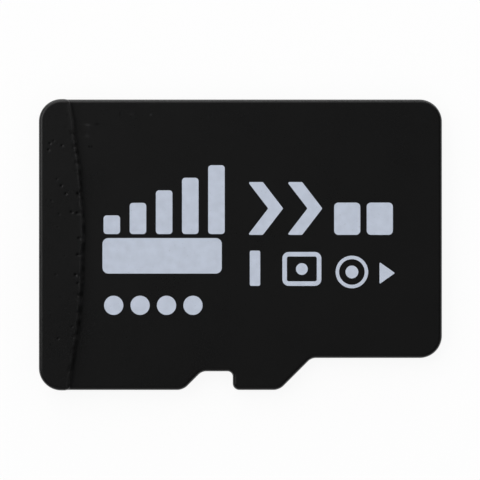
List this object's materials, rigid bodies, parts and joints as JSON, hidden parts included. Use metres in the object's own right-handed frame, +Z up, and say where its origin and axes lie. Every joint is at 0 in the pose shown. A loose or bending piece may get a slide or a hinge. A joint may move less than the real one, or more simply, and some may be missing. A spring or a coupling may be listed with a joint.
{
  "type": "memory card",
  "caption": "Thin black removable memory card with rounded corners, a keyed stepped edge with a latch notch, a raised finger lip and gold contacts underneath.",
  "frame": {"origin": "centre of the card's box on its underside", "axes": "+X along the card towards the contact end, +Y across it towards the straight edge, +Z up out of the label face"},
  "size_m": [0.0152, 0.011, 0.001],
  "materials": {
    "mould_compound": "fine matte black epoxy moulding compound",
    "laminate": "black solder resist over glass laminate",
    "contact_plating": "gold plating, lightly wiped",
    "die_film": "adhesive film",
    "silicon": "polished silicon",
    "capacitor_ceramic": "tan ceramic with tinned ends",
    "resistor_ceramic": "black glazed top with tinned ends",
    "solder": "reflowed tin solder",
    "bond_wire_gold": "drawn gold wire",
    "label_ink": "pale screen ink on the label face, printed in the visual model only"
  },
  "bodies": {
    "root": {"capacitor_1": "capacitor_ceramic", "capacitor_2": "capacitor_ceramic", "capacitor_3": "capacitor_ceramic", "capacitor_4": "capacitor_ceramic", "contact_1_data_2": "contact_plating", "contact_2_data_3": "contact_plating", "contact_3_command": "contact_plating", "contact_4_supply": "contact_plating", "contact_5_clock": "contact_plating", "contact_6_ground": "contact_plating", "contact_7_data_0": "contact_plating", "contact_8_data_1": "contact_plating", "controller_bond_wires": "bond_wire_gold", "controller_die": "silicon", "controller_die_film": "die_film", "memory_bond_wires": "bond_wire_gold", "memory_die_1": "silicon", "memory_die_2": "silicon", "memory_die_3": "silicon", "memory_die_4": "silicon", "memory_die_film_1": "die_film", "memory_die_film_2": "die_film", "memory_die_film_3": "die_film", "memory_die_film_4": "die_film", "moulded_body": "mould_compound", "resistor_1": "resistor_ceramic", "resistor_2": "resistor_ceramic", "solder_joints": "solder", "substrate": "laminate"}
  },
  "joints": []
}
